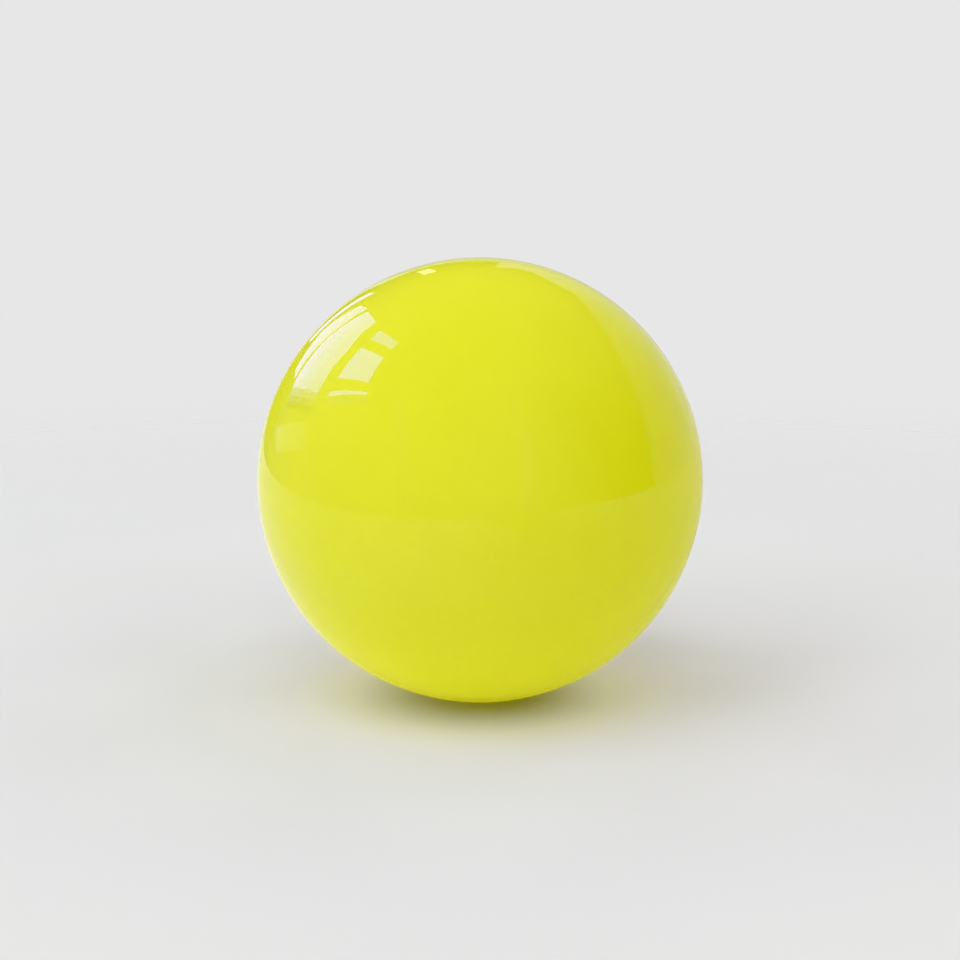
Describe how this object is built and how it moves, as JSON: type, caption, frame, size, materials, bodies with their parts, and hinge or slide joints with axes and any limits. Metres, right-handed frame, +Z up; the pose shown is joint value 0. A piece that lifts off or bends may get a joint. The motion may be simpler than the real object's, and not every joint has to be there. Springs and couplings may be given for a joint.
{
  "type": "golf ball",
  "caption": "Smooth solid golf ball with a rubber core, mantle and cover under a glossy lime yellow lacquer, for putting and minigolf.",
  "frame": {"origin": "centre of the ball", "axes": "+Z up and through the poles of the cover, whose seam is the equator; +X to the right and -Y to the front"},
  "size_m": [0.0426, 0.0426, 0.0426],
  "materials": {
    "inner_rubber": "matte",
    "outer_rubber": "matte",
    "ionomer": "satin",
    "urethane": "satin",
    "primer": "matte",
    "yellow_lacquer": "gloss"
  },
  "bodies": {
    "root": {"inner_core": "inner_rubber", "outer_core_left": "outer_rubber", "outer_core_right": "outer_rubber", "mantle_front": "ionomer", "mantle_rear": "ionomer", "cover_lower": "urethane", "cover_upper": "urethane", "primer_coat": "primer", "gloss_lacquer": "yellow_lacquer"}
  },
  "joints": []
}
